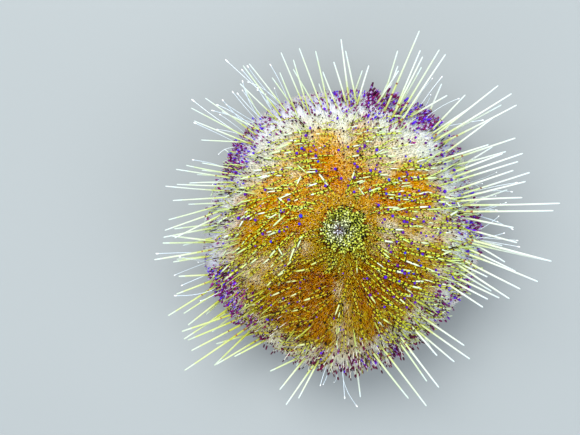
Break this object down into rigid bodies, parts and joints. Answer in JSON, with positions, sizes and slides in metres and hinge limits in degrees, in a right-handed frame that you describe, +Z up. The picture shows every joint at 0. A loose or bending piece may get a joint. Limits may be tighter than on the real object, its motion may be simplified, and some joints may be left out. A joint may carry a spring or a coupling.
{
  "type": "orange fire sea urchin model",
  "caption": "Still, life-size model of an orange sea urchin: a low dome of short banded spines with long pale spines all round, resting on its underside spines.",
  "frame": {"origin": "on the floor under the middle of the model's box, spines included; the body's own axis stands 4.9 mm to -X and 3.4 mm to -Y of it", "axes": "+Z up from the mouth on the floor to the disc at the top; +X is the picture's right and +Y the picture's up"},
  "size_m": [0.2366, 0.2198, 0.081],
  "materials": {
    "orange_coat": "coat of fine translucent orange, yellow and black-banded spines",
    "cream_coat": "paler coat of the five narrow rays",
    "disc": "dense beads of yellow-green and black round a grey cone",
    "mouth_skin": "soft wrinkled skin",
    "tooth": "smooth ivory"
  },
  "bodies": {
    "root": {"ambulacrum_1_upper": "cream_coat", "ambulacrum_1_lower": "cream_coat", "interambulacrum_1_upper": "orange_coat", "interambulacrum_1_lower": "orange_coat", "ambulacrum_2_upper": "cream_coat", "ambulacrum_2_lower": "cream_coat", "interambulacrum_2_upper": "orange_coat", "interambulacrum_2_lower": "orange_coat", "ambulacrum_3_upper": "cream_coat", "ambulacrum_3_lower": "cream_coat", "interambulacrum_3_upper": "orange_coat", "interambulacrum_3_lower": "orange_coat", "ambulacrum_4_upper": "cream_coat", "ambulacrum_4_lower": "cream_coat", "interambulacrum_4_upper": "orange_coat", "interambulacrum_4_lower": "orange_coat", "ambulacrum_5_upper": "cream_coat", "ambulacrum_5_lower": "cream_coat", "interambulacrum_5_upper": "orange_coat", "interambulacrum_5_lower": "orange_coat", "apical_disc": "disc", "peristome": "mouth_skin", "mouth_teeth": "tooth"}
  },
  "joints": []
}
